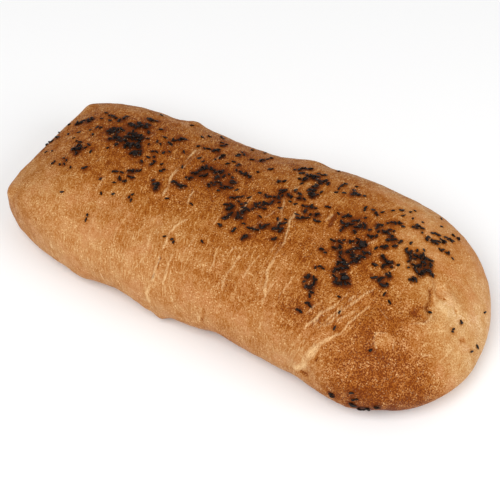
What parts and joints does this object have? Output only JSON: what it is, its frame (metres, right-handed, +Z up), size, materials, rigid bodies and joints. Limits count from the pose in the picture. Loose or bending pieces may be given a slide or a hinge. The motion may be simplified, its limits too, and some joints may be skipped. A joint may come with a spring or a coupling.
{
  "type": "turkish bread loaf",
  "caption": "Whole long flat loaf of soft white bread, one end blunt and one end round, with a browned crust strewn with small black seeds.",
  "frame": {"origin": "middle of the loaf's bounding box, on the plane of its flat base", "axes": "+X along the loaf towards its broad round end, -Y to its front side, +Z up from the base"},
  "size_m": [0.3036, 0.1442, 0.0628],
  "materials": {
    "crust": "baked bread crust, satin, golden brown on the crown and paler low on the sides",
    "seed": "black nigella seed, dull with a slight sheen"
  },
  "bodies": {
    "root": {"loaf": "crust"}
  },
  "joints": []
}
